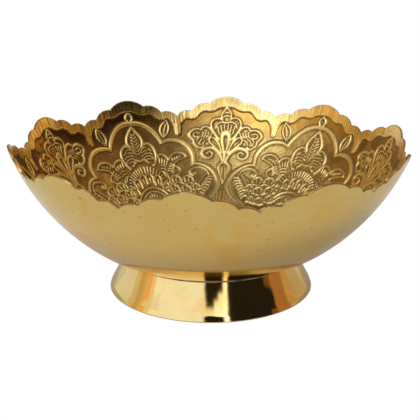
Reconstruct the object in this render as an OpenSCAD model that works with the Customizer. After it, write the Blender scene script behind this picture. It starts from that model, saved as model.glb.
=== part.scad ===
// Footed bowl with a scalloped rim: a spun brass shell brazed onto a flared ring foot.
// Millimetres, +Z up. The origin is the middle of the foot's base, on the surface it stands on.
// The tip of one rim lobe points along +Y.

/* [Bowl] */
// Outer radius of the spherical upper wall
wall_r = 132.4; // [128:0.1:140]
// Height of the centre of that sphere above the table
wall_centre_z = 141.2; // [138:0.1:150]
// Outer radius of the tighter curve between the wall and the base
knuckle_r = 80; // [60:1:100]
// Slope of the bowl's underside where the base meets the knuckle, in degrees
knuckle_start = 22; // [20:0.5:25]
// Slope of the bowl's side where the knuckle meets the spherical wall, in degrees
knuckle_end = 37; // [34:0.5:42]
// Thickness of the bowl's metal
bowl_t = 1.6; // [1.2:0.1:2.4]

/* [Rim] */
// Angle from straight down, at the sphere's centre, to the tip of a lobe
peak_angle = 71.0; // [70.5:0.1:71.5]
// The same angle to the notch beside the middle scallop
upper_notch_angle = 68.8; // [68.5:0.1:69.1]
// The same angle to the notch between the two side scallops
lower_notch_angle = 66.4; // [66.1:0.1:66.7]
// The same angle to the valley between two lobes
valley_angle = 64.5; // [64.2:0.1:64.8]
// Turn about the axis from a lobe's tip to its upper notch
upper_notch_turn = 6.0; // [5.7:0.1:6.3]
// Turn about the axis from a lobe's tip to its lower notch
lower_notch_turn = 12.2; // [11.9:0.1:12.5]
// Turn from the tip to the highest point of the inner side scallop
inner_crest_turn = 7.2; // [6.9:0.1:7.5]
// Turn from the tip to the highest point of the outer side scallop
outer_crest_turn = 13.8; // [13.5:0.1:14.1]

/* [Foot] */
// Outer radius of the foot where it meets the bowl
foot_top_r = 55.5; // [52:0.5:58]
// Outer radius of the foot at its base
foot_base_r = 65.4; // [64:0.1:68]
// How far the flare bows in from a straight cone
flare_hollow = 0.5; // [0.3:0.1:1.2]
// Thickness of the foot's metal
foot_t = 1.6; // [1.2:0.1:2]
// Height of the thick hem round the base
hem_h = 3.6; // [3:0.1:5]
// Outer radius of the hem at its top
hem_top_r = 64.3; // [63.8:0.1:64.6]
// Thickness of the hem
hem_t = 3.4; // [2.8:0.1:4]

/* [Brazing] */
// Radius of the thin bead outside the joint
outer_bead_r = 1.1; // [0.9:0.1:1.4]
// Radius of the heavier fillet inside the foot
inner_bead_r = 2.4; // [1.8:0.1:3]

/* [Hidden] */

satin_brass = "#c9a13f";
polished_brass = "#dcb552";
filler_metal = "#8a6a34";

ring_facets = 180;
arc_facets = 360;
small_facets = 72;
lobes = 10;

// A point at distance r from the origin, in a direction given by its angle from straight down.
function from_below(r, angle) = r * [sin(angle), -cos(angle)];

// The bowl's outline bends round a knuckle arc. Spheres centred on the axis and tangent to that arc make up
// the outline where they overlap: the first is the base, the last is the wall.
knuckle_centre = [0, wall_centre_z] + from_below(wall_r - knuckle_r, knuckle_end);
knuckle_steps = 3;
function sphere_r(slope) = knuckle_r + knuckle_centre[0] / sin(slope);
function sphere_z(slope) = knuckle_centre[1] + knuckle_centre[0] / tan(slope);
base_r = sphere_r(knuckle_start);
base_centre = [0, sphere_z(knuckle_start)];
function underside(r) = base_centre[1] - sqrt(base_r * base_r - r * r);

// Scallops are cut by round cutters square to the wall. A place on the wall is [along the rim, up the wall]
// in mm, measured from the meridian through the lobe's tip.
function wall_point(turn, angle) = [wall_r * sin(angle) * turn, wall_r * angle] * PI / 180;

tip = wall_point(0, peak_angle);
upper_notch = wall_point(upper_notch_turn, upper_notch_angle);
lower_notch = wall_point(lower_notch_turn, lower_notch_angle);
valley = wall_point(180 / lobes, valley_angle);

// The circle through points a and b with its centre on the line x = cx, as [x, y, radius].
function circle_through(cx, a, b) =
    let (cy = (pow(b[0] - cx, 2) - pow(a[0] - cx, 2) + b[1] * b[1] - a[1] * a[1]) / (2 * (b[1] - a[1])))
    [cx, cy, norm([a[0] - cx, a[1] - cy])];

middle_scallop = circle_through(0, tip, upper_notch);
inner_scallop = circle_through(wall_point(inner_crest_turn, upper_notch_angle)[0], upper_notch, lower_notch);
outer_scallop = circle_through(wall_point(outer_crest_turn, lower_notch_angle)[0], lower_notch, valley);

// Below this angle the wall is whole, and the lower halves of the scallops' cutters end.
root_angle = valley_angle - 1.5;
cutter_reach = 9;

// The foot's flare is a hollow arc from the joint to the hem, with its centre outside the foot.
hem_step = 0.25;
hem_chamfer = 0.6;
flare_top = [foot_top_r, underside(foot_top_r)];
flare_end = [hem_top_r - hem_step, hem_h];
flare_chord = norm(flare_end - flare_top);
flare_dir = (flare_end - flare_top) / flare_chord;
flare_r = (pow(flare_chord / 2, 2) + flare_hollow * flare_hollow) / (2 * flare_hollow);
flare_centre = (flare_top + flare_end) / 2 - (flare_r - flare_hollow) * [flare_dir[1], -flare_dir[0]];

// Where the foot's inside face meets the bowl.
joint_slope = asin(foot_top_r / base_r);
joint_dir = [cos(joint_slope), sin(joint_slope)];
flare_normal = (flare_centre - flare_top) / flare_r;
inner_joint_r = foot_top_r - joint_dir[0] * foot_t / (joint_dir * flare_normal);

// The bowl as if it were solid, with its outside moved in by inset.
module solid_bowl(inset) {
    intersection_for(i = [0 : knuckle_steps]) {
        slope = knuckle_start + (knuckle_end - knuckle_start) * i / knuckle_steps;
        translate([0, 0, sphere_z(slope)])
            sphere(r = sphere_r(slope) - inset, $fn = ring_facets);
    }
}

// A round cutter through the wall, square to it, for a scallop [along, up, radius].
module scallop_cutter(scallop, side) {
    angle = scallop[1] / wall_r * 180 / PI;
    turn = scallop[0] / (wall_r * sin(angle)) * 180 / PI;
    rotate([0, 0, 90 + side * turn])
        rotate([0, 180 - angle, 0])
            translate([0, 0, wall_r - cutter_reach])
                cylinder(r = scallop[2], h = 2 * cutter_reach, $fn = small_facets);
}

module lobe_cutters() {
    scallop_cutter(middle_scallop, 0);
    for (side = [-1, 1]) {
        scallop_cutter(inner_scallop, side);
        scallop_cutter(outer_scallop, side);
    }
}

// Everything below the roots of the scallops, cut square to the wall.
module root_cone() {
    reach = wall_r + cutter_reach;
    mirror([0, 0, 1])
        cylinder(r1 = 0, r2 = reach * tan(root_angle), h = reach, $fn = ring_facets);
}

module bowl_shell() {
    color(satin_brass)
        intersection() {
            difference() {
                solid_bowl(0);
                solid_bowl(bowl_t);
            }
            translate([0, 0, wall_centre_z])
                union() {
                    root_cone();
                    for (i = [0 : lobes - 1])
                        rotate([0, 0, i * 360 / lobes])
                            lobe_cutters();
                }
        }
}

module bowl_base_profile() {
    translate(base_centre)
        circle(r = base_r, $fn = arc_facets);
}

// The disc outside the foot whose edge is the flare's outside face, moved in by inset.
module flare_disc(inset) {
    translate(flare_centre)
        circle(r = flare_r + inset, $fn = arc_facets);
}

module flare_profile() {
    inner_limit = foot_top_r - 4 * foot_t;
    intersection() {
        difference() {
            flare_disc(foot_t);
            flare_disc(0);
        }
        translate([inner_limit, hem_h / 2])
            square([foot_base_r - inner_limit, flare_top[1]]);
    }
}

module hem_profile() {
    inner_r = foot_base_r - hem_t;
    polygon([
        [inner_r, 0],
        [foot_base_r - hem_chamfer, 0],
        [foot_base_r, hem_chamfer],
        [hem_top_r, hem_h],
        [inner_r, hem_h]
    ]);
}

module foot_ring() {
    color(polished_brass)
        rotate_extrude($fn = ring_facets)
            difference() {
                union() {
                    flare_profile();
                    hem_profile();
                }
                bowl_base_profile();
            }
}

// Half a disc of filler metal, flat against the bowl's underside at radius ring_r.
module bead_profile(ring_r, bead_r) {
    translate([ring_r, underside(ring_r)])
        rotate(joint_slope)
            intersection() {
                circle(r = bead_r, $fn = small_facets);
                translate([-bead_r, -2 * bead_r])
                    square(2 * bead_r);
            }
}

module outer_braze() {
    color(filler_metal)
        rotate_extrude($fn = ring_facets)
            intersection() {
                bead_profile(foot_top_r, outer_bead_r);
                flare_disc(0);
            }
}

module inner_braze() {
    color(filler_metal)
        rotate_extrude($fn = ring_facets)
            difference() {
                bead_profile(inner_joint_r, inner_bead_r);
                flare_disc(foot_t);
            }
}

bowl_shell();
foot_ring();
outer_braze();
inner_braze();
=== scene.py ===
import math

import bpy
import numpy as np
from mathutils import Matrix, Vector


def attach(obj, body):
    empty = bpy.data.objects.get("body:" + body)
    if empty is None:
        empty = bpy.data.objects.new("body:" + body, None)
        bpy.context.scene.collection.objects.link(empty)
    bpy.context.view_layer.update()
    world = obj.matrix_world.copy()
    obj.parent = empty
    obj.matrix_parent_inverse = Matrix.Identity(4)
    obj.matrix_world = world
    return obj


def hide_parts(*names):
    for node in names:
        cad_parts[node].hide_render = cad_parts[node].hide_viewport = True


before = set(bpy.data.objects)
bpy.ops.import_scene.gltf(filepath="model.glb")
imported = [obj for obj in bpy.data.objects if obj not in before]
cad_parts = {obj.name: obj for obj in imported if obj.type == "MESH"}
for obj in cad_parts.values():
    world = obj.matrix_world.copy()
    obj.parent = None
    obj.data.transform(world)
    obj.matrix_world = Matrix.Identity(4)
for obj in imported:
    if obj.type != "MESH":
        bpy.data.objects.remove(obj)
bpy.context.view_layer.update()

# Lengths are worked out in millimetres and turned into metres where a mesh or a light is made.
MM = 0.001
SEED = 11

# The bowl's outline, outside face: a base arc, a tighter knuckle and a spherical wall.
WALL_R = 132.4
WALL_Z = 141.2
KNUCKLE_R = 80.0
KNUCKLE_START = 22.0
KNUCKLE_END = 37.0
BOWL_T = 1.6

# The rim's scallops, as angles from straight down at the wall's centre and turns from a lobe's tip.
LOBE_TURN = 36.0
PEAK = 71.0
UPPER_NOTCH = (6.0, 68.8)
LOWER_NOTCH = (12.2, 66.4)
VALLEY = (18.0, 64.5)
CREST_TURNS = (7.2, 13.8)

# The foot.
FOOT_TOP_R = 55.5
FOOT_BASE_R = 65.4
FLARE_HOLLOW = 0.5
FOOT_T = 1.6
HEM_H = 3.6
HEM_TOP_R = 64.3
HEM_T = 3.4
TOE_ROUND = 0.55
TOE_INSET = 0.62
HEM_INNER_ROUND = 0.4
INNER_JOINT_R = 54.0
OUTER_BEAD_R = 1.1
INNER_BEAD_R = 2.4
BEAD_ROWS = 19

# The chased pattern repeats every 72 degrees and mirrors in between. Its grid is in degrees.
HALF_TURN = 36.0
GRID_STEP = 0.1
GRID_TOP = 73.0

# The smooth border under the rim, in degrees: wider near a lobe's tip, with amber ground under it. Its
# height is a share of the relief's. Under BORDER_LOWEST, all places count as FAR_FROM_RIM.
BORDER_WIDTH = 2.7
BORDER_TIP_EXTRA = 0.8
BORDER_TIP_TURN = 8.0
BORDER_SOFT = 0.3
BORDER_HEIGHT = 0.75
AMBER_REACH = 3.6
BORDER_LOWEST = 52.0
FAR_FROM_RIM = 20.0

# Beside the raised lines: how far the punched-down ground and the dark seams reach, in cells of the grid,
# and how deep and how strong they are.
PUNCH_REACH = 5
PUNCH_DEPTH = 0.35
SEAM_REACH = 4
SEAM_STRENGTH = 2.1

# The relief's height in millimetres, and how far hand work wanders from the pattern: in degrees of turn
# and of angle, and as a share of the height.
RELIEF_MM = 0.85
WANDER_TURN = 0.2
WANDER_ANGLE = 0.16
WANDER_HEIGHT = 0.10
CALM_UNDER_RIM = 5.0

# Widths of the ornament's strokes, in degrees of the wall: one degree is 2.3 mm.
LINE = 0.95
HAIR = 0.52


def polar(radius, degrees):
    """A point at a distance from the origin, in a direction given by its angle from straight down."""
    a = np.radians(degrees)
    return np.array([radius * np.sin(a), -radius * np.cos(a)])


# ---- outline of the shell

KNUCKLE_CENTRE = np.array([0.0, WALL_Z]) + polar(WALL_R - KNUCKLE_R, KNUCKLE_END)
BASE_R = KNUCKLE_R + KNUCKLE_CENTRE[0] / math.sin(math.radians(KNUCKLE_START))
BASE_Z = KNUCKLE_CENTRE[1] + KNUCKLE_CENTRE[0] / math.tan(math.radians(KNUCKLE_START))


def shell_point(slope, depth):
    """Radius and height on the shell where its face slopes so much, at a depth under the outside."""
    slope = np.asarray(slope, float)
    base = slope < KNUCKLE_START
    wall = slope > KNUCKLE_END
    arc = np.where(base, BASE_R, np.where(wall, WALL_R, KNUCKLE_R)) - depth
    cr = np.where(base | wall, 0.0, KNUCKLE_CENTRE[0])
    cz = np.where(base, BASE_Z, np.where(wall, WALL_Z, KNUCKLE_CENTRE[1]))
    a = np.radians(slope)
    return cr + arc * np.sin(a), cz - arc * np.cos(a)


def underside(r):
    """Height of the bowl's outside at a radius under the base arc."""
    return BASE_Z - math.sqrt(BASE_R ** 2 - r ** 2)


# ---- scalloped rim

def wall_place(turn, angle):
    """Millimetres along the rim and up the wall."""
    return WALL_R * math.sin(math.radians(angle)) * math.radians(turn), WALL_R * math.radians(angle)


def scallop_through(cx, a, b):
    """Centre and radius of the arc centred at cx along the rim that passes through two places."""
    cy = ((b[0] - cx) ** 2 - (a[0] - cx) ** 2 + b[1] ** 2 - a[1] ** 2) / (2 * (b[1] - a[1]))
    return cx, cy, math.hypot(a[0] - cx, a[1] - cy)


def scallops():
    """The arcs of half a lobe: the large crest at its tip and the two smaller ones beside it."""
    tip = wall_place(0, PEAK)
    upper = wall_place(*UPPER_NOTCH)
    lower = wall_place(*LOWER_NOTCH)
    valley = wall_place(*VALLEY)
    inner_cx = wall_place(CREST_TURNS[0], UPPER_NOTCH[1])[0]
    outer_cx = wall_place(CREST_TURNS[1], LOWER_NOTCH[1])[0]
    return [
        scallop_through(0, tip, upper),
        scallop_through(inner_cx, upper, lower),
        scallop_through(outer_cx, lower, valley),
    ]


def rim_angle(turn, radius=WALL_R):
    """Angle of the cut edge at a turn from a lobe's tip, on a sphere of that radius."""
    half = LOBE_TURN / 2
    folded = half - np.abs(np.mod(np.asarray(turn, float), LOBE_TURN) - half)
    best = np.zeros_like(folded)
    for cx, cy, reach in scallops():
        centre = cy / WALL_R
        offset = cx / (WALL_R * math.sin(centre))
        for place in (offset, math.radians(LOBE_TURN) - offset):
            a = math.cos(centre)
            b = math.sin(centre) * np.cos(np.radians(folded) - place)
            share = math.cos(math.asin(reach / radius)) / np.hypot(a, b)
            inside = share <= 1
            edge = np.arctan2(b, a) + np.arccos(np.clip(share, -1, 1))
            best = np.maximum(best, np.where(inside, np.degrees(edge), 0))
    return best


# ---- chased ornament: a place is a pair of degrees, the turn from the middle of the palmette or of the
# cartouche and the angle up the wall. Widths are in degrees too, and heights are shares of the relief's.

def smooth_line(points, steps=7):
    """A Catmull-Rom curve through a few points."""
    p = np.array(points, float)
    if len(p) == 2:
        return np.array([p[0] + (p[1] - p[0]) * t for t in np.linspace(0, 1, 4)])
    p = np.vstack([2 * p[0] - p[1], p, 2 * p[-1] - p[-2]])
    made = []
    for i in range(1, len(p) - 2):
        a, b, c, d = p[i - 1:i + 3]
        for t in np.arange(steps) / steps:
            made.append(0.5 * (2 * b + (c - a) * t + (2 * a - 5 * b + 4 * c - d) * t ** 2
                               + (3 * b - a - 3 * c + d) * t ** 3))
    made.append(p[-2])
    return np.array(made)


def ramp(x):
    """0 under 0, 1 over 1, smooth between."""
    x = np.clip(x, 0, 1)
    return x * x * (3 - 2 * x)


class Plate:
    """Heights of the ornament over half a repeat, on a grid of turn and angle, both in degrees."""

    # How soft a stroke's edge is, how much of its height is in its rounded top, and the margin round it.
    SOFT = 0.42
    CROWN = 0.45
    MARGIN = 1.0

    def __init__(self):
        self.turn = np.arange(0, HALF_TURN + GRID_STEP / 2, GRID_STEP)
        self.angle = np.arange(0, GRID_TOP + GRID_STEP / 2, GRID_STEP)
        self.height = np.zeros((len(self.angle), len(self.turn)))
        self.across = np.sin(np.radians(np.maximum(self.angle, 2)))[:, None]
        self.from_cartouche = False

    def window(self, line, margin):
        """The part of the grid that holds a line and a margin round it."""
        low, high = line.min(0), line.max(0)
        wide = margin / max(0.05, math.sin(math.radians(max(low[1] - margin, 2))))
        c0 = max(0, int((low[0] - wide) / GRID_STEP))
        c1 = min(len(self.turn), int((high[0] + wide) / GRID_STEP) + 2)
        r0 = max(0, int((low[1] - margin) / GRID_STEP))
        r1 = min(len(self.angle), int((high[1] + margin) / GRID_STEP) + 2)
        return slice(r0, r1), slice(c0, max(c0, c1))

    def edge_distance(self, line, widths, place):
        """Distance outside the edge of a stroke of these widths, less than nothing inside it, and how
        wide half the stroke is there."""
        turn = self.turn[place[1]][None, :]
        angle = self.angle[place[0]][:, None]
        across = self.across[place[0]]
        best = np.full((angle.shape[0], turn.shape[1]), 99.0)
        reach = np.ones_like(best)
        for i in range(len(line) - 1):
            ax = (line[i, 0] - turn) * across
            ay = line[i, 1] - angle
            dx = (line[i + 1, 0] - line[i, 0]) * across
            dy = line[i + 1, 1] - line[i, 1]
            t = np.clip(-(ax * dx + ay * dy) / (dx * dx + dy * dy + 1e-9), 0, 1)
            half = 0.5 * (widths[i] + (widths[i + 1] - widths[i]) * t)
            edge = np.hypot(ax + dx * t, ay + dy * t) - half
            closer = edge < best
            best = np.where(closer, edge, best)
            reach = np.where(closer, half, reach)
        return best, np.maximum(reach, 0.01)

    def stroke(self, points, width, height):
        """Where a stroke lies on the grid and its height there. width is one number or several."""
        line = smooth_line(points)
        if self.from_cartouche:
            line[:, 0] = HALF_TURN - line[:, 0]
        given = np.atleast_1d(np.array(width, float))
        widths = np.interp(np.linspace(0, 1, len(line)), np.linspace(0, 1, len(given)), given)
        place = self.window(line, self.MARGIN + given.max())
        edge, reach = self.edge_distance(line, widths, place)
        crown = 1 - np.clip(1 + edge / reach, 0, 1) ** 2
        return place, height * ramp(0.5 - edge / self.SOFT) * (1 - self.CROWN + self.CROWN * crown)

    def band(self, points, width=0.6, height=1.0):
        """A raised stroke."""
        place, made = self.stroke(points, width, height)
        self.height[place] = np.maximum(self.height[place], made)

    def cut(self, points, width=0.4, depth=0.6):
        """A groove."""
        place, made = self.stroke(points, width, depth)
        self.height[place] -= made

    def bead(self, turn, angle, size, height=1.0):
        self.band([(turn, angle), (turn, angle + 0.02)], 2 * size, height)

    def comb(self, first, last, count, width=HAIR, height=0.75, bend=0.0):
        """Short strokes side by side, from the pair of points first to the pair last."""
        for t in np.linspace(0, 1, count):
            a, b = (np.array(first[i]) * (1 - t) + np.array(last[i]) * t for i in (0, 1))
            middle = (a + b) / 2 + np.array([b[1] - a[1], a[0] - b[0]]) * bend
            self.band([a, middle, b], (width * 0.7, width, width * 0.6), height)


def leaf(p, back, belly, count):
    """A leaf between two edges that share their ends, with a comb of strokes across it."""
    p.band(back, (0.55, LINE, 0.55))
    p.band(belly, (0.55, 0.85 * LINE, 0.55))
    upper, lower = smooth_line(back), smooth_line(belly)
    for t in np.linspace(0.16, 0.84, count):
        a = upper[int(t * (len(upper) - 1))]
        b = lower[int(t * (len(lower) - 1))]
        p.band([b, b + (a - b) * 0.5 - np.array([0.25, 0.0]), a], (0.5, 0.62, 0.45), 0.8)


def draw_palmette(p):
    # Bud, and the three-lobed cup under it with upright strokes.
    p.band([(0, 67.4), (0.8, 66.5), (1.7, 65.1), (1.5, 63.6)], LINE * 0.9)
    p.band([(0, 65.9), (0.7, 65.6)], HAIR, 0.8)
    p.band([(0, 64.8), (1, 64.5)], HAIR, 0.8)
    p.band([(1.4, 63.4), (2.9, 63.9), (4.6, 63.4), (5.4, 62), (5.1, 60.4), (3.8, 58.4),
            (2.3, 56.8)], LINE)
    p.band([(0, 62.4), (1.8, 62.6), (3.4, 61.9), (3.9, 60.6)], HAIR, 0.8)
    p.comb([(0.7, 61.8), (0.6, 60.2)], [(3.2, 61.2), (2.5, 58.8)], 3, 0.62, 0.9)
    # Rounded middle petal, cut by a dark teardrop, and the stem below it.
    p.band([(0, 58.2), (0, 56), (0, 53), (0, 49)], (3.6, 3.5, 1.8, 1.1))
    p.cut([(0, 57.4), (0, 55.8), (0, 53.2)], (1.3, 1.2, 0.3), 1)
    # Teardrop leaf beside it.
    p.band([(1.2, 52.4), (2.8, 55.4), (4.6, 57.3), (6.1, 57.1), (6, 55.8), (4.1, 54.3),
            (1.4, 52)], LINE * 0.85)
    p.band([(2.4, 53.6), (3.8, 55.2), (4.8, 56)], (0.2, 0.5, 0.3), 0.5)


def draw_side_flower(p):
    p.band([(1.3, 52.8), (2.6, 55.9), (4, 58)], HAIR)
    p.band([(3.4, 57.4), (4.6, 59.2), (6.2, 60.7), (8, 61.1), (9.3, 60)], LINE)
    p.band([(9.1, 60), (11.2, 60.4), (13, 59.6), (13.7, 58.2), (12.3, 56.6)], (0.8, 1.1, 1.2, 1))
    p.band([(12.2, 56.8), (12, 55.4), (10.8, 54.3), (9.6, 53.9), (8.4, 54.5)], LINE)
    p.comb([(5.2, 59), (6.6, 57.4)], [(8.5, 59.4), (9, 57.7)], 4, 0.62, 0.9, 0.15)
    p.comb([(7, 56.8), (8.6, 55.3)], [(9.4, 57.6), (11, 56.3)], 3, 0.62, 0.9, -0.15)
    p.band([(9.8, 58.9), (11.4, 59.2), (12.2, 58.3), (11.2, 57.6), (10.2, 57.9)], HAIR, 0.85)


def draw_volute(p):
    p.band([(0.7, 48.6), (1.4, 50.8), (2.9, 52.8), (5, 53.9), (7.3, 53.8), (8.9, 52.8), (8.9, 51.4),
            (7.4, 50.4), (5.6, 50.7), (5.1, 51.9), (6.2, 52.6), (7.2, 52.1)],
           (1, 1.6, 1.45, 1.1, 0.9, 0.75))
    # Lower bud with a dark groove.
    p.band([(0, 49), (1.6, 48.3), (2.3, 46.9), (1.7, 44.9), (0.7, 42.4)], (0.5, 1.2, 1.5, 1.1, 0.5))
    p.band([(0, 47.6), (0, 45.8), (0, 42)], (0.8, 2.6, 0.9), 0.9)
    p.cut([(0, 48.2), (0, 46), (0, 42.6)], (0.2, 0.55, 0.3), 0.8)


def draw_scroll(p):
    p.band([(13, 48.3), (10.6, 48.4), (7.6, 47.5), (4.7, 45.5), (2.9, 42.9), (2.5, 40.5), (4.1, 37.6),
            (7, 35.4), (10, 34), (13.4, 32.2), (16.5, 31.3)], (1, 1.3, 1.6, 1.6, 1.5, 1.3))
    p.band([(6.3, 43.9), (7.6, 46), (9.6, 47), (12, 47), (14.3, 46.1), (14.7, 44.9),
            (13.4, 44.1)], (0.6, 0.95, 1, 1))
    p.bead(12.9, 44.8, 0.9)
    # Comb of gadroons along the inside of the scroll, then a leaf rib that closes it.
    for k in range(8):
        t = k / 7
        foot = (5 + 5.4 * t ** 1.4, 43.7 - 7.6 * t)
        tip = (8.1 + 4.8 * t, 42.8 - 5.8 * t)
        middle = ((foot[0] + tip[0]) / 2, (foot[1] + tip[1]) / 2 + 0.4)
        p.band([foot, middle, tip], (0.5, 0.85, 0.5), 0.95)
    p.band([(7.9, 44.8), (10, 42.6), (12.6, 39.6), (15, 35.6)], 0.6)
    p.band([(10.2, 43.8), (12.4, 41.8), (14.6, 38.8)], (0.3, 0.5, 0.3), 0.55)
    # Fan of strokes below the scroll.
    for k in range(9):
        turn = 0.9 + 1.65 * k
        top = 38.8 - 0.5 * turn
        p.band([(turn * 0.92, top), (turn * 1.06, top - 1.8), (turn * 1.22, top - 3.6)],
               (0.5, 0.95, 0.6), 0.9)
    p.cut([(0, 39.4), (0, 35)], 0.5, 0.7)


def draw_cartouche_frame(p):
    p.band([(0, 63.6), (2.4, 63.5), (5, 62.6), (7.5, 60.9), (9.3, 58.9), (10.4, 57.2), (10.9, 56.2)],
           (1.6, 1.65, 1.45, 1.1))
    p.band([(10.7, 56.2), (13, 56.9), (15.7, 57), (18.4, 56.5), (20.7, 55.2), (22.4, 53.4),
            (23.3, 51.5), (23.4, 48.8)], (1, 1.5, 1.65, 1.65, 1.5))
    # Almond leaf in the corner above.
    p.band([(12, 57.9), (11.2, 60), (12, 62), (14, 63.6)], (0.4, 0.7, 0.5))
    p.band([(12.2, 57.9), (14, 59.6), (14.6, 61.6), (14, 63.6)], (0.4, 0.7, 0.5))
    p.band([(12.3, 58.6), (12.9, 60.4), (13.7, 62.4)], HAIR, 0.6)
    # Pointed bud above the arch.
    p.band([(0, 67), (0.9, 66.2), (1.2, 65.2), (0.6, 64.3)], LINE * 0.75)


def draw_top_petal(p):
    p.band([(0, 62.2), (1.2, 60.9), (2.6, 59.1), (3.2, 57.3), (2.4, 55.6)], LINE)
    p.comb([(0.1, 59.5), (0.9, 60.2)], [(0.2, 53), (2.1, 54.6)], 7, 0.6, 0.9)
    p.band([(2.4, 55.6), (4.6, 56.5), (6.7, 55.2), (7.5, 53), (7, 50.6), (5.6, 48.8)], LINE)
    p.comb([(1.8, 54.4), (4, 55.2)], [(1.9, 50.6), (5.6, 50.8)], 5, 0.62, 0.9, -0.12)
    p.comb([(4.9, 54.6), (6.2, 53.6)], [(5.4, 51.9), (6.4, 50.9)], 3, 0.55, 0.85)
    p.band([(0, 50.6), (1.7, 51), (3.8, 49.6)], (1, 1.2, 0.7))


def draw_wing_flower(p):
    p.band([(20.4, 51), (19, 52.2), (16.6, 52.6), (14.4, 52), (12.6, 50.4)], LINE)
    p.band([(12.8, 50.4), (11, 51.9), (8.9, 52.3), (7.5, 51.3)], LINE)
    p.band([(20.4, 50.8), (18.2, 50.3), (15.9, 49.5), (14.5, 48.3), (16.4, 47.3), (16.8, 46),
            (15.4, 44.9), (13.2, 44.4)], (0.7, 0.9, LINE, LINE))
    p.comb([(17.9, 51.6), (17.2, 50.8)], [(14, 50.9), (14.6, 49.9)], 4, 0.55, 0.9)
    p.comb([(8.3, 51.4), (8.3, 49.6)], [(12, 50.2), (11, 48.6)], 4, 0.65, 0.9, -0.1)
    p.comb([(13.2, 48.9), (14.6, 47.4)], [(11.4, 46.6), (13.8, 45.5)], 4, 0.65, 0.9, -0.18)
    p.comb([(8.8, 48.6), (10.9, 47.8)], [(8, 46.4), (10.4, 45.6)], 3, 0.6, 0.85, -0.12)


def draw_rosette(p):
    # Fringe of short strokes over rounded petals, and the double arc of the flower's eye.
    for k in range(11):
        a = math.radians(4 + 8.4 * k)
        base = (7.6 * math.sin(a) + 0.2, 40.4 + 6.1 * math.cos(a))
        tip = (9.7 * math.sin(a) + 0.2, 40.4 + 8.3 * math.cos(a))
        p.band([base, tip], (0.45, 0.62), 0.9)
    for v, top, lean in ((1.7, 46, 0), (5, 45, 0.9), (7.8, 42.4, 1.9)):
        p.band([(v - 1.5, top - 3.4), (v - 1.6 + lean * 0.4, top - 0.9), (v + lean * 0.6, top),
                (v + 1.5 + lean * 0.3, top - 1.1), (v + 1.4 - lean * 0.2, top - 3.2)], LINE * 0.85)
        p.band([(v - 0.1, top - 3.2), (v + lean * 0.4, top - 1.5)], (0.3, 0.75), 0.75)
    p.band([(0, 41), (3, 40.6), (6, 39.3), (8.8, 36.9)], (0.85, 0.85, 0.7))
    p.band([(0, 39.6), (2.6, 39.2), (5.2, 38), (7.2, 36.2)], HAIR)
    p.comb([(0.7, 38.9), (0.6, 37.5)], [(6, 36.7), (4.9, 35.6)], 5, 0.6, 0.9)
    p.band([(0, 36.7), (2.4, 36.3), (4.6, 35.1), (6.4, 33.3)], LINE * 0.85)
    p.comb([(0.6, 35.7), (0.4, 33.2)], [(5.2, 33.5), (3.4, 31.5)], 5, 0.62)


def draw_small_leaves(p):
    """Short curled leaves between the rosette and the scroll: place of each stalk, and size."""
    for v, angle, size in ((10.6, 42.2, 1), (16.4, 41.6, 1.05), (9.2, 39, 0.95), (14.8, 38.2, 1),
                           (20.6, 39.2, 0.8), (7.8, 35.8, 0.9), (12.6, 34.6, 0.95), (18, 34.9, 0.75)):
        back = [(0, 0), (1, 1.8), (3.2, 2.5), (5.4, 1.5), (6, -0.4)]
        belly = [(0, 0), (1.9, -0.5), (4, -0.2), (6, -0.4)]
        leaf(p, [(v + x * size, angle + y * size) for x, y in back],
             [(v + x * size, angle + y * size) for x, y in belly], 4)
    p.band([(7.4, 33.6), (9.6, 33.4), (11.8, 32.2), (13.6, 30.6)], 0.6, 0.9)
    p.comb([(8.8, 46.6), (9.9, 44.4)], [(12, 44.6), (11.6, 43.4)], 3, 0.55, 0.85)


def draw_floor_border(p):
    """Two rings with a run of small arches, and a ten-petalled flower in the middle of the floor."""
    whole = np.arange(-3, HALF_TURN + 4, 3)
    for angle, width in ((29.6, 0.65), (28.5, HAIR), (24.6, 0.5), (16.6, 0.5), (15.7, HAIR)):
        p.band([(turn, angle) for turn in whole], width, 0.9)
    for k in range(7):
        turn = 6 * k
        p.band([(turn - 2.9, 28.4), (turn - 2.2, 26.4), (turn, 25.5), (turn + 2.2, 26.4),
                (turn + 2.9, 28.4)], 0.5, 0.85)
        p.bead(turn, 27.2, 0.42, 0.8)
    for turn in (0, HALF_TURN):
        for side in (-1, 1):
            p.band([(turn + side * 9, 4.6), (turn + side * 16, 9), (turn + side * 10, 13),
                    (turn, 14.8)], (0.5, 0.7, 0.5), 0.9)
            p.band([(turn + side * 4, 7), (turn + side * 6.4, 9.6), (turn + side * 3.2, 11.8)],
                   HAIR, 0.7)
        p.band([(turn, 5), (turn, 12.6)], HAIR, 0.7)
    p.band([(turn, 3.6) for turn in whole], 0.5, 0.9)


def rim_distance(p):
    """Distance from the cut edge, in degrees, over the plate."""
    turns = np.arange(-6, HALF_TURN + 6.1, 0.5)
    edge = np.column_stack([turns, rim_angle(turns)])
    top = p.angle > BORDER_LOWEST
    place = (slice(int(np.argmax(top)), len(p.angle)), slice(0, len(p.turn)))
    far = np.full(p.height.shape, FAR_FROM_RIM)
    far[place] = p.edge_distance(edge, np.zeros(len(edge)), place)[0]
    above = p.angle[:, None] > rim_angle(p.turn)[None, :]
    return np.where(above, 0.0, far)


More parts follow.
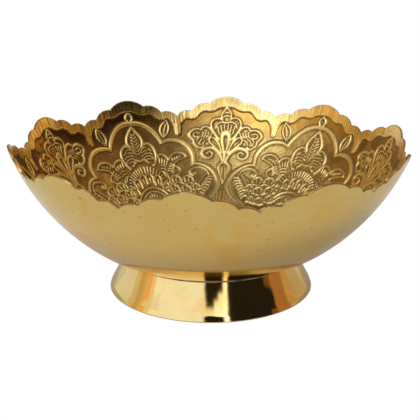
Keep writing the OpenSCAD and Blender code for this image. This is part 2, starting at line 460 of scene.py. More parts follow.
def draw_border(p, away):
    """A flat border along the scallops, with a tab at each valley, and the amber ground under it."""
    from_tip = np.minimum(p.turn, LOBE_TURN - p.turn)[None, :]
    width = BORDER_WIDTH + BORDER_TIP_EXTRA * ramp(1 - from_tip / BORDER_TIP_TURN)
    border = ramp(0.5 + (width - away) / BORDER_SOFT)
    middle = LOBE_TURN / 2
    place, tab = p.stroke([(middle, 64.0), (middle, 62.0), (middle, 59.4)], (4.4, 2.6, 2.0), 1.0)
    border[place] = np.maximum(border[place], tab)
    p.height = np.maximum(p.height * (1 - border), BORDER_HEIGHT * border)
    amber = ramp(1.15 - (away - width) / AMBER_REACH) * (1 - border)
    return border, amber


def blurred(grid, reach):
    """The grid with each value averaged over its neighbours, by a bell of that reach in cells."""
    steps = np.arange(-3 * reach, 3 * reach + 1)
    bell = np.exp(-0.5 * (steps / reach) ** 2)
    bell /= bell.sum()
    for axis in (0, 1):
        pads = [(0, 0), (0, 0)]
        pads[axis] = (3 * reach, 3 * reach)
        wide = np.pad(grid, pads, mode="reflect" if axis else "edge")
        size = grid.shape[axis]
        grid = sum(w * np.take(wide, np.arange(i, i + size), axis) for i, w in enumerate(bell))
    return grid


def build_plate():
    """Grids over half a repeat: height, hollow beside raised lines, border, and amber ground."""
    p = Plate()
    for draw in (draw_palmette, draw_side_flower, draw_volute, draw_scroll):
        draw(p)
    p.from_cartouche = True
    for draw in (draw_cartouche_frame, draw_top_petal, draw_wing_flower, draw_rosette,
                 draw_small_leaves):
        draw(p)
    p.from_cartouche = False
    draw_floor_border(p)
    away = rim_distance(p)
    border, amber = draw_border(p, away)
    # Metal beside a raised line is punched down, which leaves a dark seam round it.
    height = p.height - PUNCH_DEPTH * np.clip(blurred(p.height, PUNCH_REACH) - p.height, 0, 1)
    hollow = np.clip(SEAM_STRENGTH * (blurred(height, SEAM_REACH) - height), 0, 1)
    return {"height": height, "hollow": hollow, "border": border, "amber": amber}


def waves(turn, angle, reach, seed, count=7):
    """A smooth wander over the wall, the same where a full turn closes."""
    draw = np.random.default_rng(seed)
    total = np.zeros(np.broadcast(turn, angle).shape)
    for _ in range(count):
        around = int(draw.integers(4, 34))
        up = draw.uniform(2, 9)
        start, tilt = draw.uniform(0, 2 * math.pi, 2)
        total += np.sin(np.radians(turn) * around + start) * np.cos(np.radians(angle) * up + tilt)
    return reach * total / math.sqrt(count)


def sample(plate, name, turn, angle):
    """One of the plate's grids at places all round the wall."""
    repeat = 2 * HALF_TURN
    u = np.abs(np.mod(turn + HALF_TURN, repeat) - HALF_TURN)
    col = np.clip(u / GRID_STEP, 0, plate[name].shape[1] - 1.001)
    row = np.clip(angle / GRID_STEP, 0, plate[name].shape[0] - 1.001)
    c, r = col.astype(int), row.astype(int)
    fc, fr = col - c, row - r
    g = plate[name]
    return ((g[r, c] * (1 - fc) + g[r, c + 1] * fc) * (1 - fr)
            + (g[r + 1, c] * (1 - fc) + g[r + 1, c + 1] * fc) * fr)


# ---- meshes

def add_object(name, data):
    made = bpy.data.objects.new(name, data)
    bpy.context.scene.collection.objects.link(made)
    return made


def fill(target, key, data, kind):
    target.foreach_set(key, data.astype(kind).ravel())


class Rings:
    """A mesh made of rings of points round the axis, joined one to the next."""

    def __init__(self):
        self.points, self.starts, self.faces, self.kinds, self.uv = [], [], [], [], []
        self.total = 0

    def ring(self, turn, r, z):
        a = np.radians(turn)
        self.points.append(np.column_stack([r * np.sin(a), r * np.cos(a), np.broadcast_to(z, a.shape)]))
        self.starts.append((self.total, len(a)))
        self.total += len(a)
        return len(self.starts) - 1

    def join(self, low, high, kind, rows):
        """Faces between two rings, one of which may have half the points. rows are their v values."""
        (s0, n0), (s1, n1) = self.starts[low], self.starts[high]
        step = min(n0, n1)
        k = np.arange(step)
        nxt = (k + 1) % step
        u0, u1 = k / step, (k + 1) / step
        v0, v1 = rows
        if n0 == n1:
            quads = np.column_stack([s0 + k, s0 + nxt, s1 + nxt, s1 + k])
            self.add(quads, [(u0, v0), (u1, v0), (u1, v1), (u0, v1)], kind)
            return
        um = (u0 + u1) / 2
        fine, coarse, vf, vc = (s0, s1, v0, v1) if n0 > n1 else (s1, s0, v1, v0)
        f0, f1, f2 = fine + 2 * k, fine + 2 * k + 1, fine + (2 * k + 2) % (2 * step)
        c0, c1 = coarse + k, coarse + nxt
        parts = [
            ([c0, f0, f1], [(u0, vc), (u0, vf), (um, vf)]),
            ([c0, f1, c1], [(u0, vc), (um, vf), (u1, vc)]),
            ([c1, f1, f2], [(u1, vc), (um, vf), (u1, vf)]),
        ]
        for ids, uv in parts:
            if n0 < n1:
                ids, uv = ids[::-1], uv[::-1]
            self.add(np.column_stack(ids), uv, kind)

    def loop(self, turn, outline, kinds, span):
        """Rings through an outline of radii and heights, the last one joined to the first."""
        made = [self.ring(turn, r, z) for r, z in outline]
        for i, kind in enumerate(kinds):
            self.join(made[i], made[(i + 1) % len(made)], kind, (i / span, (i + 1) / span))

    def cap(self, ring, kind, row, up):
        """Closes a ring with one point on the axis."""
        start, n = self.starts[ring]
        tip = self.total
        self.ring(np.zeros(1), 0.0, self.points[ring][:, 2].mean())
        k = np.arange(n)
        a, b = (k + 1, k) if up else (k, k + 1)
        uv = [(a / n, row), (b / n, row), ((k + 0.5) / n, row)]
        self.add(np.column_stack([start + a % n, start + b % n, np.full(n, tip)]), uv, kind)

    def add(self, faces, uv, kind):
        self.faces.append(faces)
        self.kinds.append(np.full(len(faces), kind))
        u = np.column_stack([np.broadcast_to(a, len(faces)) for a, _ in uv])
        v = np.column_stack([np.broadcast_to(b, len(faces)) for _, b in uv])
        self.uv.append(np.stack([u, v], 2).reshape(-1, 2))

    def build(self, name, materials, values=None):
        mesh = bpy.data.meshes.new(name)
        points = np.vstack(self.points) * MM
        sizes = np.concatenate([np.full(len(f), f.shape[1]) for f in self.faces])
        loops = np.concatenate([f.ravel() for f in self.faces])
        mesh.vertices.add(len(points))
        fill(mesh.vertices, "co", points, np.float32)
        mesh.loops.add(len(loops))
        fill(mesh.loops, "vertex_index", loops, np.int32)
        mesh.polygons.add(len(sizes))
        starts = np.concatenate([[0], np.cumsum(sizes)[:-1]])
        fill(mesh.polygons, "loop_start", starts, np.int32)
        fill(mesh.polygons, "material_index", np.concatenate(self.kinds), np.int32)
        fill(mesh.uv_layers.new(name="OFBake").data, "uv", np.vstack(self.uv), np.float32)
        for key, data in (values or {}).items():
            fill(mesh.attributes.new(key, "FLOAT", "POINT").data, "value", data, np.float32)
        for material in materials:
            mesh.materials.append(material)
        mesh.update()
        mesh.validate()
        mesh.shade_smooth()
        return add_object(name, mesh)


# ---- looks

# Inside colours: two for the raised lines, two for the border, then ground, rust, patina and painted
# shade.
RIDGE = ((0.80, 0.65, 0.285), (0.76, 0.54, 0.19))
BORDER = ((0.86, 0.69, 0.31), (0.84, 0.58, 0.18))
GROUND_OLIVE = (0.64, 0.475, 0.17)
GROUND_AMBER = (0.62, 0.34, 0.06)
GROUND_DARK = (0.36, 0.24, 0.08)
RUST_GOLD = (0.70, 0.33, 0.06)
PATINA = (0.10, 0.056, 0.018)
# Painted shade: dark brown for the ground at the sides, and near black under the left rim.
PAINTED_SIDE_SHADE = (0.115, 0.06, 0.024)
PAINTED_DEEP_SHADE = (0.03, 0.018, 0.008)

# Colours of the outside, and pairs for the cut edge, the foot, its raw inside and the filler metal.
OUTSIDE_METAL = (0.72, 0.53, 0.165)
OUTSIDE_AMBER = (0.77, 0.45, 0.085)
OUTSIDE_PALE = (0.73, 0.60, 0.29)
OUTSIDE_LINE = (0.50, 0.33, 0.09)
OUTSIDE_SPECK = (0.16, 0.09, 0.025)
EDGE = ((0.60, 0.43, 0.16), (0.26, 0.16, 0.05))
FOOT = ((0.82, 0.67, 0.33), (0.78, 0.54, 0.18))
FOOT_LINE = (0.64, 0.42, 0.13)
RAW = ((0.52, 0.36, 0.12), (0.17, 0.10, 0.035))
FILLER = ((0.45, 0.33, 0.14), (0.10, 0.06, 0.025))

# Where each begins and is full, in metres: painted side shade by X, the darkening downwards and the
# polish by Z.
PAINTED_SHADE_LEFT = (0.01, -0.08)
PAINTED_SHADE_RIGHT = (0.035, 0.10)
BROWN_LOW = (0.078, 0.048)
POLISHED_BAND = (0.043, 0.036)

# How many of each long mark fit round the unrolled wall, and up it.
CHISEL_MARKS = (540.0, 20.0)
OUTSIDE_TURNING = (9.0, 900.0)
SCRATCH_MARKS = (70.0, 1500.0)
FILE_MARKS = (1400.0, 90.0)
FOOT_TURNING = (5.0, 420.0)
RAW_TURNING = (14.0, 300.0)


def feed(tree, socket, value):
    if isinstance(value, bpy.types.NodeSocket):
        tree.links.new(value, socket)
    elif isinstance(value, tuple) and len(value) == 3 and socket.type == "RGBA":
        socket.default_value = (*value, 1)
    else:
        socket.default_value = value


def add_node(tree, kind, inputs=None, **settings):
    """A shader node, with its own settings, whose inputs are linked or set."""
    made = tree.nodes.new("ShaderNode" + kind)
    for key, value in settings.items():
        setattr(made, key, value)
    for key, value in (inputs or {}).items():
        feed(tree, made.inputs[key], value)
    return made


def empty_material(name):
    material = bpy.data.materials.new(name)
    material.use_nodes = True
    material.node_tree.nodes.clear()
    return material, material.node_tree


class Look:
    """A material whose nodes are added one by one."""

    def __init__(self, name):
        self.material, self.tree = empty_material(name)
        self.shader = self.node("BsdfPrincipled")
        self.node("OutputMaterial", {"Surface": self.shader.outputs["BSDF"]})
        self.places = self.node("TexCoord").outputs["Object"]

    def node(self, kind, inputs=None, **settings):
        return add_node(self.tree, kind, inputs, **settings)

    def set(self, **values):
        for key, value in values.items():
            feed(self.tree, self.shader.inputs[key.replace("_", " ")], value)

    def math(self, operation, a, b, clamp=False):
        return self.node("Math", {0: a, 1: b}, operation=operation, use_clamp=clamp).outputs[0]

    def times(self, a, b):
        return self.math("MULTIPLY", a, b)

    def add(self, a, b):
        return self.math("ADD", a, b)

    def rest(self, share):
        """What is left of one."""
        return self.math("SUBTRACT", 1.0, share, True)

    def blend(self, share, a, b):
        return self.node("Mix", {0: share, 6: a, 7: b}, data_type="RGBA").outputs[2]

    def between(self, share, a, b):
        return self.node("Mix", {0: share, 2: a, 3: b}).outputs[0]

    def place(self, axis):
        return self.node("SeparateXYZ", {0: self.places}).outputs[axis]

    def noise(self, scale, detail=3.0, rough=0.55, vector=None, twist=0.0):
        where = self.places if vector is None else vector
        return self.node("TexNoise", {"Vector": where, "Scale": scale, "Detail": detail,
                                      "Roughness": rough, "Distortion": twist}).outputs["Fac"]

    def marks(self, stretch, detail, rough=0.6, twist=0.0):
        """Noise on the unrolled wall, stretched to so many units round and up."""
        flat = self.node("UVMap", uv_map="OFBake").outputs["UV"]
        long = self.node("VectorMath", {0: flat, 1: (*stretch, 1.0)}, operation="MULTIPLY")
        return self.noise(1.0, detail, rough, long.outputs[0], twist)

    def steps(self, share, low, high):
        """0 at low and 1 at high, smooth between. low may be the larger one."""
        return self.node("MapRange", {0: share, 1: low, 2: high},
                         interpolation_type="SMOOTHSTEP").outputs[0]

    def attribute(self, name):
        return self.node("Attribute", attribute_name=name).outputs["Fac"]

    def bump(self, height, metres, strength, under=None):
        inputs = {"Height": height, "Distance": metres, "Strength": strength}
        if under is not None:
            inputs["Normal"] = under
        return self.node("Bump", inputs).outputs["Normal"]


def ground_metal(look, mottle, broad, border, left):
    """The ground between the raised lines: olive and brown, amber under the border, and darkened at the
    sides with painted shade, most of all under the left rim."""
    amber = look.attribute("amber")
    grain = look.noise(720, 2, 0.6)
    ground = look.blend(look.steps(mottle, 0.36, 0.66), GROUND_DARK, GROUND_OLIVE)
    ground = look.blend(look.times(look.steps(grain, 0.52, 0.66), 0.6), ground, GROUND_DARK)
    tint = look.times(amber, look.between(look.steps(broad, 0.4, 0.56), 0, 0.75))
    ground = look.blend(tint, ground, GROUND_AMBER)
    # Painted shade: the ground darkens towards both sides, most on the left, and goes near black under
    # the left rim.
    right = look.times(look.steps(look.place("X"), *PAINTED_SHADE_RIGHT), 0.55)
    side_shade = look.times(look.math("MAXIMUM", left, right), look.between(border, 0.9, 0))
    ground = look.blend(side_shade, ground, PAINTED_SIDE_SHADE)
    return look.blend(look.times(look.times(left, amber), 0.8), ground, PAINTED_DEEP_SHADE)


def chased_brass():
    """The ornamented inside: bright worn ridges and border over a darker ground, rusty gold patches,
    patina along the seams and chisel streaks on the border, with painted shade and painted orange
    reflection on the left."""
    look = Look("chased_brass")
    border = look.attribute("border")
    broad = look.noise(13, 2)
    mottle = look.noise(110, 4, 0.65, twist=0.5)
    chisel = look.marks(CHISEL_MARKS, 2, 0.5)
    # Painted shade: this mask darkens the left of the inside and lays more rust there as painted orange
    # reflection.
    left = look.steps(look.place("X"), *PAINTED_SHADE_LEFT)
    low = look.steps(look.place("Z"), *BROWN_LOW)
    ridge = look.steps(look.attribute("raised"), 0.22, 0.58)
    uneven = look.times(look.math("SUBTRACT", mottle, 0.5), 0.5)
    seam = look.steps(look.add(look.attribute("hollow"), uneven), 0.14, 0.62)
    worn = look.blend(look.steps(mottle, 0.4, 0.7), *RIDGE)
    bright = look.blend(look.steps(mottle, 0.36, 0.62), *BORDER)
    ground = ground_metal(look, mottle, broad, border, left)
    metal = look.blend(ridge, ground, look.blend(border, worn, bright))
    rust = look.times(look.steps(broad, 0.47, 0.38), look.steps(mottle, 0.4, 0.58))
    # The rust patches are real; laying more of them on the left is painted orange reflection.
    metal = look.blend(look.times(rust, look.between(left, 0.1, 0.55)), metal, RUST_GOLD)
    # Darker towards the bottom of the inside.
    metal = look.blend(look.times(low, 0.38), metal, GROUND_DARK)
    # The patina in the hollows is real; making it stronger on the left is painted shade.
    metal = look.blend(look.times(seam, look.between(left, 0.72, 0.95)), metal, PATINA)
    grooves = look.times(look.steps(chisel, 0.56, 0.36), border)
    # The chisel streaks are real; making them darker on the left is painted shade.
    metal = look.blend(look.times(grooves, look.between(left, 0.45, 0.85)), metal, GROUND_DARK)
    rough = look.between(border, look.between(ridge, 0.22, 0.33), 0.19)
    look.set(Base_Color=metal, Metallic=look.between(seam, 1, 0.55), IOR=1.5)
    look.set(Roughness=look.add(rough, look.times(seam, 0.25)))
    punched = look.times(look.noise(1300, 2, 0.5), look.rest(ridge))
    dents = look.bump(mottle, 0.0003, 0.25, look.bump(punched, 0.00018, 0.9))
    look.set(Normal=look.bump(look.times(chisel, border), 0.00022, 0.9, dents))
    return look.material


def spun_brass():
    """The plain outside: olive gold with faint turning lines, amber patches, specks and scratches, and a
    polished band above the foot."""
    look = Look("spun_brass")
    patch = look.steps(look.noise(24, 3, 0.5, twist=0.8), 0.52, 0.72)
    polished = look.steps(look.place("Z"), *POLISHED_BAND)
    haze = look.noise(42, 4, 0.6)
    turned = look.marks(OUTSIDE_TURNING, 2)
    specks = look.steps(look.noise(430, 1, 0.4), 0.74, 0.78)
    scratch = look.steps(look.marks(SCRATCH_MARKS, 2, 0.5, 0.4), 0.67, 0.74)
    spots = look.times(look.math("MAXIMUM", specks, look.times(scratch, 0.5)), 0.6)
    metal = look.blend(patch, OUTSIDE_METAL, OUTSIDE_AMBER)
    metal = look.blend(look.times(look.steps(haze, 0.4, 0.75), 0.35), metal, OUTSIDE_PALE)
    metal = look.blend(look.times(look.steps(turned, 0.45, 0.7), 0.24), metal, OUTSIDE_LINE)
    metal = look.blend(spots, metal, OUTSIDE_SPECK)
    metal = look.blend(look.times(polished, 0.7), metal, OUTSIDE_AMBER)
    rough = look.between(polished, look.between(haze, 0.07, 0.15), 0.03)
    look.set(Base_Color=metal, Metallic=1, Roughness=look.add(rough, look.times(spots, 0.2)))
    dull = look.rest(polished)
    wave = look.bump(look.times(look.noise(40, 2), dull), 0.0004, 0.12)
    look.set(Normal=look.bump(look.times(turned, dull), 0.00001, 0.5, wave))
    return look.material


def cut_edge():
    """The sawn and filed rim."""
    look = Look("cut_edge")
    filed = look.marks(FILE_MARKS, 3)
    dirt = look.steps(look.noise(160), 0.35, 0.6)
    look.set(Base_Color=look.blend(dirt, *EDGE), Metallic=look.between(dirt, 1, 0.7))
    look.set(Roughness=look.between(filed, 0.25, 0.5), Normal=look.bump(filed, 0.00012, 0.8))
    return look.material


def mirror_brass():
    """The foot's polished outside, with fine turning lines and a few soft smears."""
    look = Look("mirror_brass")
    turned = look.marks(FOOT_TURNING, 3)
    smear = look.noise(48, 4, 0.6)
    metal = look.blend(look.steps(smear, 0.42, 0.72), *FOOT)
    metal = look.blend(look.times(look.steps(turned, 0.45, 0.66), 0.26), metal, FOOT_LINE)
    look.set(Base_Color=metal, Metallic=1, Roughness=look.between(smear, 0.03, 0.1))
    wave = look.bump(look.noise(30, 2), 0.0008, 0.22)
    look.set(Normal=look.bump(turned, 0.000012, 0.5, wave))
    return look.material


def raw_brass():
    """Inside the foot: dull metal with coarse turning marks and dark tarnish."""
    look = Look("raw_brass")
    turned = look.marks(RAW_TURNING, 3)
    tarnish = look.steps(look.noise(70, 5, 0.65), 0.35, 0.68)
    metal = look.blend(tarnish, *RAW)
    look.set(Base_Color=metal, Metallic=look.between(tarnish, 1, 0.75))
    grit = look.bump(look.noise(900), 0.0001, 0.6)
    look.set(Roughness=look.between(tarnish, 0.3, 0.55), Normal=look.bump(turned, 0.0001, 0.8, grit))
    return look.material


def filler_brass():
    """Brazing metal: paler, lumpy, with burnt flux in patches."""
    look = Look("filler_brass")
    lumps = look.noise(420, 4, 0.6)
    burnt = look.steps(look.noise(150, 4, 0.65), 0.42, 0.66)
    metal = look.blend(burnt, *FILLER)
    look.set(Base_Color=metal, Metallic=look.between(burnt, 1, 0.5))
    look.set(Roughness=look.between(lumps, 0.3, 0.6), Normal=look.bump(lumps, 0.0003, 0.8))
    return look.material


# ---- pieces

# Points round, and rows of the inside. The rows up to the wall go by the shell's slope in degrees: from,
# to and step.
INNER_SEGMENTS = 1440
ROUND_SEGMENTS = 360
CENTRE_SLOPE = 7.0
FLOOR_SLOPE = 24.0
WALL_SLOPE = 40.0
SLOPE_RUNS = (
    (2.0, CENTRE_SLOPE, 0.24),
    (CENTRE_SLOPE, FLOOR_SLOPE, 0.22),
    (FLOOR_SLOPE, WALL_SLOPE, 0.4),
)
WALL_ROWS = 122

# Rows of the outside: shares of the way from the wall's foot to the rim, slopes below that, and the slope
# under which a ring has half the points.
OUTER_WALL_SLOPE = 46.0
OUTER_SHARES = (0.97, 0, 14)
OUTER_RUNS = ((44.0, 22.0, -1.5), (21.5, 1.0, -2.0))
OUTER_HALF_SLOPE = 20.0

# Where each run of rings lies on the unrolled wall.
INNER_V = 0.48
EDGE_V = 0.485
EDGE_V_STEP = 0.005
OUTER_V = 0.99
OUTER_V_SPAN = 0.47

# The turn where every ring starts: the front, where the inside isn't seen.
SEAM_TURN = 180.0

# One degree of the wall in millimetres, how far the cut edge's rounding reaches down the wall, and the
# edge's points as pairs of that reach and of the depth under the outside.
WALL_DEGREE = WALL_R * math.pi / 180
EDGE_ROUND = 0.4
EDGE_PROFILE = ((0.12, 1.52), (0.0, 1.25), (0.0, 0.35), (0.12, 0.08), (0.4, 0.0))


def full_turn(n):
    return SEAM_TURN + np.arange(n) * 360.0 / n


def add_blank(values, n):
    """Gives n plain points no ornament."""
    for data in values.values():
        data.append(np.zeros(n))


def add_relief(plate, values, turn, slope, rim):
    """Takes the ornament at a ring's places, a little unevenly, and gives how high it stands there."""
    r, z = shell_point(slope, BOWL_T)
    angle = np.degrees(np.arctan2(r, WALL_Z - z))
    calm = ramp((rim - angle) / CALM_UNDER_RIM)
    across = np.maximum(0.12, np.sin(np.radians(angle)))
    turn_at = turn + calm * waves(turn, angle, WANDER_TURN, SEED) / across
    angle_at = angle + calm * waves(turn, angle, WANDER_ANGLE, SEED + 1)
    height = sample(plate, "height", turn_at, angle_at)
    height = height * (1 + WANDER_HEIGHT * waves(turn, angle, 1.0, SEED + 2) * calm)
    values["raised"].append(np.clip(height, 0, 1))
    for key in ("hollow", "border", "amber"):
        values[key].append(sample(plate, key, turn_at, angle_at))
    return height


def inner_rings(rings, plate, values):
    """The ornamented inside, from the middle of the floor up to the rim."""
    slopes = np.concatenate([np.arange(*run) for run in SLOPE_RUNS])
    total = len(slopes) + WALL_ROWS
    last = None
    for i in range(total):
        size = INNER_SEGMENTS
        if i < len(slopes) and slopes[i] < FLOOR_SLOPE:
            size = INNER_SEGMENTS // (4 if slopes[i] < CENTRE_SLOPE else 2)
        turn = full_turn(size)
        rim = rim_angle(turn, WALL_R - BOWL_T)
        if i < len(slopes):
            slope = np.full(size, slopes[i])
        else:
            top = rim - EDGE_ROUND / WALL_DEGREE
            slope = WALL_SLOPE + (top - WALL_SLOPE) * (i - len(slopes)) / (WALL_ROWS - 1)
        height = add_relief(plate, values, turn, slope, rim)
        # The border lies where the plain inside of the shell is; lower ground is cut into the metal.
        ring = rings.ring(turn, *shell_point(slope, BOWL_T + RELIEF_MM * (height - BORDER_HEIGHT)))
        if last is None:
            rings.cap(ring, 0, 0.0, True)
            add_blank(values, 1)
        else:
            rings.join(last, ring, 0, (INNER_V * (i - 1) / total, INNER_V * i / total))
        last = ring
    return last


def edge_rings(rings, last, values):
    """The cut edge, rounded a little on both sides."""
    turn = full_turn(INNER_SEGMENTS)
    for i, (back, depth) in enumerate(EDGE_PROFILE):
        slope = rim_angle(turn, WALL_R - depth) - back / WALL_DEGREE
        ring = rings.ring(turn, *shell_point(slope, depth))
        v = EDGE_V + EDGE_V_STEP * i
        rings.join(last, ring, 1, (v, v + EDGE_V_STEP))
        last = ring
        add_blank(values, INNER_SEGMENTS)
    return last


def outer_rings(rings, last, values):
    """The plain outside, from the rim down to the middle of the underside."""
    turn = full_turn(INNER_SEGMENTS // 2)
    rim = rim_angle(turn, WALL_R) - EDGE_ROUND / WALL_DEGREE
    slopes = [OUTER_WALL_SLOPE + (rim - OUTER_WALL_SLOPE) * t for t in np.linspace(*OUTER_SHARES)]
    slopes += [np.full(len(turn), s) for run in OUTER_RUNS for s in np.arange(*run)]
    share = OUTER_V_SPAN / len(slopes)
    for i, slope in enumerate(slopes):
        size = len(turn) // 2 if slope.max() < OUTER_HALF_SLOPE else len(turn)
        ring = rings.ring(full_turn(size), *shell_point(slope[:size], 0.0))
        rings.join(last, ring, 2, (OUTER_V - share * i, OUTER_V - share * (i + 1)))
        last = ring
        add_blank(values, size)
    rings.cap(last, 2, OUTER_V - OUTER_V_SPAN, False)
    add_blank(values, 1)


def make_bowl():
    rings = Rings()
    values = {"raised": [], "hollow": [], "border": [], "amber": []}
    last = inner_rings(rings, build_plate(), values)
    last = edge_rings(rings, last, values)
    outer_rings(rings, last, values)
    joined = {key: np.concatenate(data) for key, data in values.items()}
    bowl = rings.build("bowl", [chased_brass(), cut_edge(), spun_brass()], joined)
    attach(bowl, "root")
    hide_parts("bowl_shell")


def arc(centre, radius, start, end, count):
    """Points on an arc, with angles in degrees from +r towards +z."""
    a = np.radians(np.linspace(start, end, count))
    return [(centre[0] + radius * math.cos(t), centre[1] + radius * math.sin(t)) for t in a]


def flare():
    """Centre and radius of the foot's hollow side, and the angles where it starts and ends."""
    top = np.array([FOOT_TOP_R, underside(FOOT_TOP_R)])
    end = np.array([HEM_TOP_R, HEM_H])
    chord = np.linalg.norm(end - top)
    along = (end - top) / chord
    radius = ((chord / 2) ** 2 + FLARE_HOLLOW ** 2) / (2 * FLARE_HOLLOW)
    centre = (top + end) / 2 - (radius - FLARE_HOLLOW) * np.array([along[1], -along[0]])
    angles = [math.degrees(math.atan2(*(p - centre)[::-1])) for p in (top, end)]
    return centre, radius, angles


def straight(a, b, shares=(0.04, 0.12, 0.5, 0.88, 0.96)):
    """Points between two others, by default closer together near the ends, where the shading turns."""
    return [(a[0] + (b[0] - a[0]) * t, a[1] + (b[1] - a[1]) * t) for t in shares]


def foot_outline():
    """The outside face down to the table, as one run of points, and the inside face back up."""
    centre, radius, (start, end) = flare()
    side = arc(centre, radius, start, end, 26)
    lean = math.degrees(math.atan2(FOOT_BASE_R - HEM_TOP_R, HEM_H))
    toe = arc((FOOT_BASE_R - TOE_INSET, TOE_ROUND), TOE_ROUND, lean, -90, 9)
    hem = straight(side[-1], toe[0], (0.25, 0.5, 0.75, 0.96)) + toe
    inner = FOOT_BASE_R - HEM_T
    corner = (inner + HEM_INNER_ROUND, HEM_INNER_ROUND)
    rim = straight(toe[-1], (corner[0], 0.0)) + arc(corner, HEM_INNER_ROUND, -90, -180, 5)
    top = (inner, HEM_H - HEM_INNER_ROUND)
    rim += straight(rim[-1], top) + [top]
    return side + hem, rim + arc(centre, radius + FOOT_T, end - 0.1, start, 24)


def make_foot():
    outside, inside = foot_outline()
    rings = Rings()
    kinds = [0] * (len(outside) - 1) + [1] * (len(inside) + 1)
    rings.loop(full_turn(ROUND_SEGMENTS), outside + inside, kinds, len(kinds) + 1)
    foot = rings.build("foot", [mirror_brass(), raw_brass()])
    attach(foot, "root")
    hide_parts("foot_ring")


def foot_wall(z, inset):
    """Radius of the foot's side at a height, measured so far in from its outer face."""
    centre, radius, _ = flare()
    return centre[0] - math.sqrt((radius + inset) ** 2 - (z - centre[1]) ** 2)


def make_bead(name, node, ring_r, bead_r, inset, material):
    """A bead of filler metal in the corner of bowl and foot, a little uneven along its length."""
    rings = Rings()
    turn = full_turn(ROUND_SEGMENTS)
    tilt = math.asin(ring_r / BASE_R)
    size = bead_r * (0.93 + waves(turn, 0.0, 0.035, SEED + int(10 * bead_r)))
    outline = []
    for t in np.radians(np.linspace(180, 360, BEAD_ROWS)) + tilt:
        r = ring_r + size * math.cos(t)
        z = underside(ring_r) + size * math.sin(t)
        wall = np.array([foot_wall(h, inset) for h in z])
        outline.append((np.minimum(r, wall) if inset else np.maximum(r, wall), z))
    rings.loop(turn, outline, [0] * BEAD_ROWS, BEAD_ROWS)
    bead = rings.build(name, [material])
    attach(bead, "root")
    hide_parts(node)


# ---- stage

# The camera: turn to the right of the front, angle above level, distance in millimetres from a point at
# this height on the axis, focal length for a frame 36 mm wide, and sideways shift.
CAMERA_TURN = 5.74
CAMERA_UP = 17.7
CAMERA_FAR = 626.0
CAMERA_AIM_Z = 49.5
CAMERA_LENS = 83.9
FRAME_WIDTH = 36
CAMERA_SHIFT = -0.002

# The table lies this many millimetres high, a hair under the foot, and reaches this many metres out.
TABLE_TOP = -0.1
TABLE_REACH = 6.0

# Light given by the sky overhead and the table, for everything but the camera's direct view.
SKY = (0.20, 0.20, 0.21)
TABLE_LIFT = (0.20, 0.20, 0.20)
TABLE_COLOUR = (0.50, 0.50, 0.50)

# How far out the screens stand, and how near the axis and how high their skirts lie, in metres.
SCREEN_FAR = 1.3
SCREEN_POINTS = 24
SKIRT_NEAR = 0.30
SKIRT_HEIGHT = 0.001

# Colours of the screens that come more than once.
BLACK = (0.02, 0.015, 0.01)
DARK = (0.02, 0.016, 0.012)
WINDOW = (1.45, 1.45, 1.5)
COPPER = (0.46, 0.21, 0.07)
DIM_AMBER = (0.34, 0.21, 0.09)
WARM = (0.85, 0.68, 0.40)

# The screens round the table: name, first and last turn to the right of the camera, lowest and highest
# metres, and colour.
SCREENS = (
    ("white_card", -62, -8, 0, 2, (1.12, 1.12, 1.10)),
    ("white_low", -70, -62, 0, 0.45, (1.15, 1.13, 1.08)),
    ("orange_high", -88, -72, 0.58, 0.95, (1.0, 0.58, 0.19)),
    ("cream_mid", -88, -72, 0.45, 0.58, (0.95, 0.82, 0.58)),
    ("white_high", -90, -62, 0.95, 2, (0.95, 0.90, 0.80)),
    ("white_mid", -72, -62, 0.45, 0.95, (1.0, 0.96, 0.86)),
    ("orange_low", -84, -76, 0, 0.45, (1.0, 0.55, 0.18)),
    ("cream_low", -76, -70, 0, 0.45, (1.0, 0.80, 0.50)),
    ("olive_wall", -102, -94, 0, 1.6, (0.78, 0.62, 0.38)),
    ("amber_post", -94, -88, 0, 1.6, (0.70, 0.46, 0.18)),
    ("olive_low", -88, -84, 0, 0.45, (0.74, 0.53, 0.26)),
    ("cream_shelf", -180, -102, 0, 0.30, (0.86, 0.80, 0.72)),
    ("amber_wall", -180, -102, 0.30, 1.6, (0.50, 0.33, 0.14)),
    ("camera_stand", -8, 15, 0, 0.54, BLACK),
    ("camera_arm", -7, 9, 0.54, 0.64, BLACK),
    ("camera_body", -6, 4, 0.64, 0.76, BLACK),
    ("camera_left", -8, -6, 0.54, 2, (1.2, 1.18, 1.12)),
    ("arm_right", 9, 15, 0.54, 0.64, WINDOW),
    ("camera_right", 4, 15, 0.64, 2, WINDOW),
    ("camera_glow", -6, 4, 0.76, 2, (1.15, 1.12, 1.05)),
    ("door_light", 15, 20, 0, 2, (1.9, 1.9, 1.95)),
    ("high_card", -54, 20, 2, 4.2, (0.70, 0.68, 0.62)),
    ("dark_room", 20, 68, 0, 1, DARK),
    ("warm_side", 20, 68, 1, 3, (0.48, 0.40, 0.26)),
    ("dark_corner", 68, 78, 0.34, 1.1, DARK),
    ("copper_edge", 68, 76, 0, 0.34, (0.20, 0.09, 0.03)),
    ("copper_low", 76, 78, 0, 0.34, COPPER),
    ("copper_wall", 78, 95, 0, 0.60, COPPER),
    ("copper_pale", 95, 106, 0, 0.60, (0.62, 0.38, 0.16)),
    ("amber_shelf", 106, 180, 0, 0.26, (0.56, 0.45, 0.30)),
    ("amber_frieze", 106, 180, 0.26, 0.40, (1.05, 0.62, 0.24)),
    ("amber_high", 78, 106, 0.60, 1.1, DIM_AMBER),
    ("amber_back", 106, 180, 0.40, 1, DIM_AMBER),
    ("warm_high", 68, 106, 1.1, 3.2, WARM),
    ("warm_back", 106, 180, 1, 3.2, WARM),
)

# The lamps: name, turn to the right of the camera, angle above level, distance and width in metres,
# watts, and whether the metal mirrors it.
LAMPS = (
    ("table_light", -30, 68, 1.6, 0.8, 9, False),
    ("key", -35, 55, 1.6, 1.2, 5, True),
)


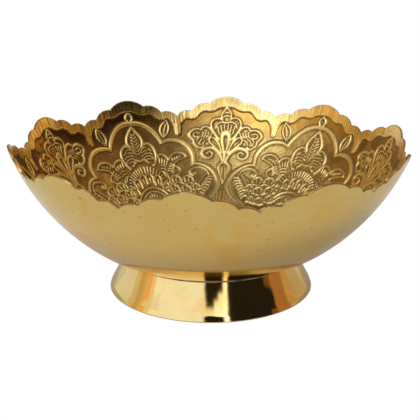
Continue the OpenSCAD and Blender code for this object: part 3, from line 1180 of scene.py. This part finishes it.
def direction(turn, up):
    """The direction at a turn to the right of the front and an angle above level, in degrees."""
    t, u = math.radians(turn), math.radians(up)
    return Vector((math.sin(t) * math.cos(u), -math.cos(t) * math.cos(u), math.sin(u)))


def aimed(back):
    """The turn that points a camera or a lamp away from the direction back."""
    return (-back).to_track_quat("-Z", "Y").to_euler()


def add_sheet(name, points, faces, material):
    mesh = bpy.data.meshes.new(name)
    mesh.from_pydata(points, [], faces)
    mesh.materials.append(material)
    return add_object(name, mesh)


def make_camera():
    data = bpy.data.cameras.new("camera")
    data.lens = CAMERA_LENS
    data.sensor_width = FRAME_WIDTH
    data.shift_x = CAMERA_SHIFT
    camera = add_object("camera", data)
    back = direction(CAMERA_TURN, CAMERA_UP)
    camera.location = Vector((0, 0, CAMERA_AIM_Z * MM)) + back * CAMERA_FAR * MM
    camera.rotation_euler = aimed(back)
    bpy.context.scene.camera = camera


def seen_white(tree, kind, lit):
    """A switch that shows plain white to the camera and lit to the metal and its surroundings."""
    seen = add_node(tree, "LightPath").outputs["Is Camera Ray"]
    white = add_node(tree, kind, {"Color": (1, 1, 1)}).outputs[0]
    return add_node(tree, "MixShader", {0: seen, 1: lit, 2: white}).outputs[0]


def table_look():
    """A pale table, evenly white to the camera, whose real light and shade the metal mirrors."""
    material, tree = empty_material("table")
    matte = add_node(tree, "BsdfDiffuse", {"Color": TABLE_COLOUR}).outputs[0]
    shine = add_node(tree, "Emission", {"Color": TABLE_LIFT}).outputs[0]
    both = add_node(tree, "AddShader", {0: matte, 1: shine}).outputs[0]
    shown = seen_white(tree, "Emission", both)
    add_node(tree, "OutputMaterial", {"Surface": shown})
    return material


def make_floor():
    far = TABLE_REACH
    z = TABLE_TOP * MM
    corners = [(-far, -far, z), (far, -far, z), (far, far, z), (-far, far, z)]
    floor = add_sheet("table", corners, [(0, 1, 2, 3)], table_look())


def glow(name, colour):
    """A plain light-giving material for a screen."""
    material, tree = empty_material(name)
    shine = add_node(tree, "Emission", {"Color": colour}).outputs[0]
    add_node(tree, "OutputMaterial", {"Surface": shine})
    return material


def make_screen(name, left, right, low, high, colour):
    """An upright curved screen round the table, outside the picture, that the metal mirrors. One that
    stands on the table has a skirt of its own colour that runs in over it."""
    rows = [(SCREEN_FAR, low), (SCREEN_FAR, high)]
    if low == 0:
        rows.insert(0, (SKIRT_NEAR, SKIRT_HEIGHT))
    n = SCREEN_POINTS
    angles = np.radians(np.linspace(left, right, n) + CAMERA_TURN)
    points = [(r * math.sin(a), -r * math.cos(a), z) for r, z in rows for a in angles]
    firsts = [k * n + i for k in range(len(rows) - 1) for i in range(n - 1)]
    screen = add_sheet(name, points, [(i, i + 1, i + n + 1, i + n) for i in firsts], glow(name, colour))
    screen.visible_camera = False
    screen.visible_shadow = False


def make_world():
    world = bpy.data.worlds.new("studio")
    world.use_nodes = True
    tree = world.node_tree
    tree.nodes.clear()
    sky = add_node(tree, "Background", {"Color": SKY}).outputs[0]
    shown = seen_white(tree, "Background", sky)
    add_node(tree, "OutputWorld", {"Surface": shown})
    bpy.context.scene.world = world


def make_lamp(name, turn, up, far, size, watts, mirrored):
    data = bpy.data.lights.new(name, "AREA")
    data.energy = watts
    data.shape = "DISK"
    data.size = size
    lamp = add_object(name, data)
    lamp.location = direction(turn + CAMERA_TURN, up) * far
    lamp.rotation_euler = aimed(lamp.location)
    lamp.visible_glossy = mirrored


def make_stage():
    make_floor()
    make_world()
    for screen in SCREENS:
        make_screen(*screen)
    for lamp in LAMPS:
        make_lamp(*lamp)
    bpy.context.scene.view_settings.view_transform = "Standard"


make_camera()
make_bowl()
make_foot()
filler = filler_brass()
make_bead("outer_bead", "outer_braze", FOOT_TOP_R, OUTER_BEAD_R, 0.0, filler)
make_bead("inner_bead", "inner_braze", INNER_JOINT_R, INNER_BEAD_R, FOOT_T, filler)
make_stage()
